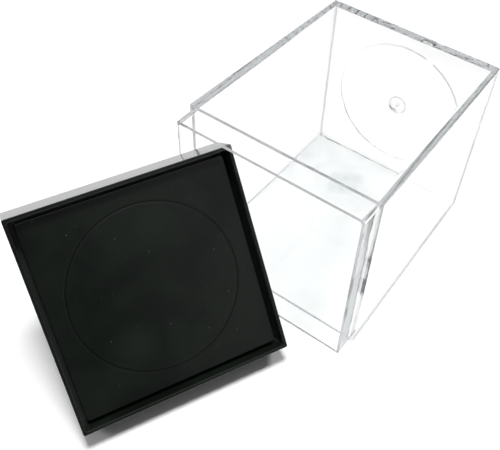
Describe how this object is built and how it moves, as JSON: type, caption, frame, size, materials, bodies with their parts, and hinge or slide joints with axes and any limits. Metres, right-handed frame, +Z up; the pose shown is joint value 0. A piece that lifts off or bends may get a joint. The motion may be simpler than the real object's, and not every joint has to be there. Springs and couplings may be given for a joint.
{
  "type": "figure display case",
  "caption": "Square clear plastic display case cover lying on its side, its stepped lip at the open mouth, with the black plug-in base leaning on the mouth.",
  "frame": {"origin": "centre of the flat side that the cover lies on, on the table", "axes": "+Z up from the table, +Y from the cover's open mouth to its closed end, +X to the right across the mouth"},
  "size_m": [0.0791, 0.1409, 0.0595],
  "materials": {
    "clear_plastic": "clear, polished",
    "black_plastic": "glossy, as moulded"
  },
  "bodies": {
    "cover": {"clear_cover": "clear_plastic"},
    "base": {"black_base": "black_plastic"}
  },
  "joints": [
    {"name": "base_draw_away", "type": "slide", "parent": "cover", "child": "base", "axis": [0, -1, 0], "range_m": [0, 0.04]}
  ]
}
